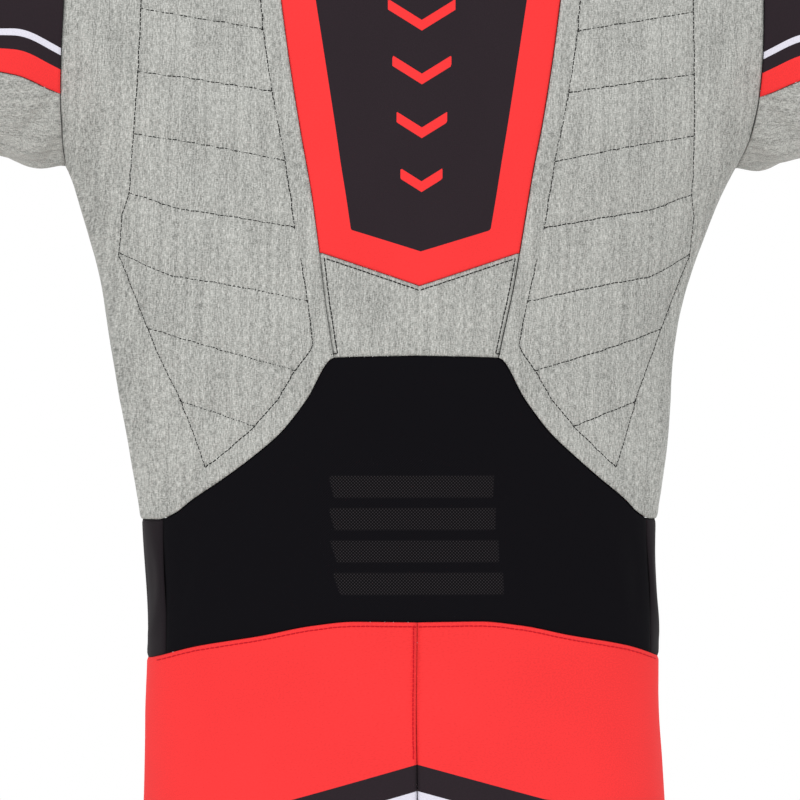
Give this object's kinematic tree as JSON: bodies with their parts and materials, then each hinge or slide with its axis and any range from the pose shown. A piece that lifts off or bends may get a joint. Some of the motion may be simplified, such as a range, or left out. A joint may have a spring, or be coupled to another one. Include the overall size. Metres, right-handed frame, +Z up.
{
  "type": "karting suit",
  "caption": "One-piece karting suit, hollow as worn with arms out, with quilted grey back panels, a stretch lumbar panel, red legs and a front zip.",
  "frame": {"origin": "middle of the neck base, where the suit hangs from the wearer's shoulders", "axes": "+Z up, the wearer faces -Y, the wearer's left is +X"},
  "size_m": [1.5472, 0.2467, 1.5095],
  "materials": {
    "grey_cloth": "matt melange cloth",
    "red_cloth": "matt printed cloth",
    "stretch_knit": "matt stretch knit",
    "black_cloth": "matt printed cloth",
    "zip_tape": "matt woven tape",
    "zip_metal": "dark plated"
  },
  "bodies": {
    "root": {"back_centre": "black_cloth", "back_lower_centre": "grey_cloth", "back_side_left": "grey_cloth", "back_side_right": "grey_cloth", "lumbar_panel": "stretch_knit", "waist_side_left": "black_cloth", "waist_side_right": "black_cloth", "front_left": "grey_cloth", "front_right": "grey_cloth", "collar": "black_cloth", "sleeve_upper_left": "black_cloth", "sleeve_upper_right": "black_cloth", "sleeve_under_left": "grey_cloth", "sleeve_under_right": "grey_cloth", "cuff_left": "stretch_knit", "cuff_right": "stretch_knit", "leg_back_left": "red_cloth", "leg_back_right": "red_cloth", "leg_front_left": "red_cloth", "leg_front_right": "red_cloth", "ankle_cuff_left": "stretch_knit", "ankle_cuff_right": "stretch_knit", "zip_tape_left": "zip_tape", "zip_tape_right": "zip_tape", "zip_coil": "zip_tape", "zip_slider": "zip_metal", "zip_pull": "zip_tape"}
  },
  "joints": []
}
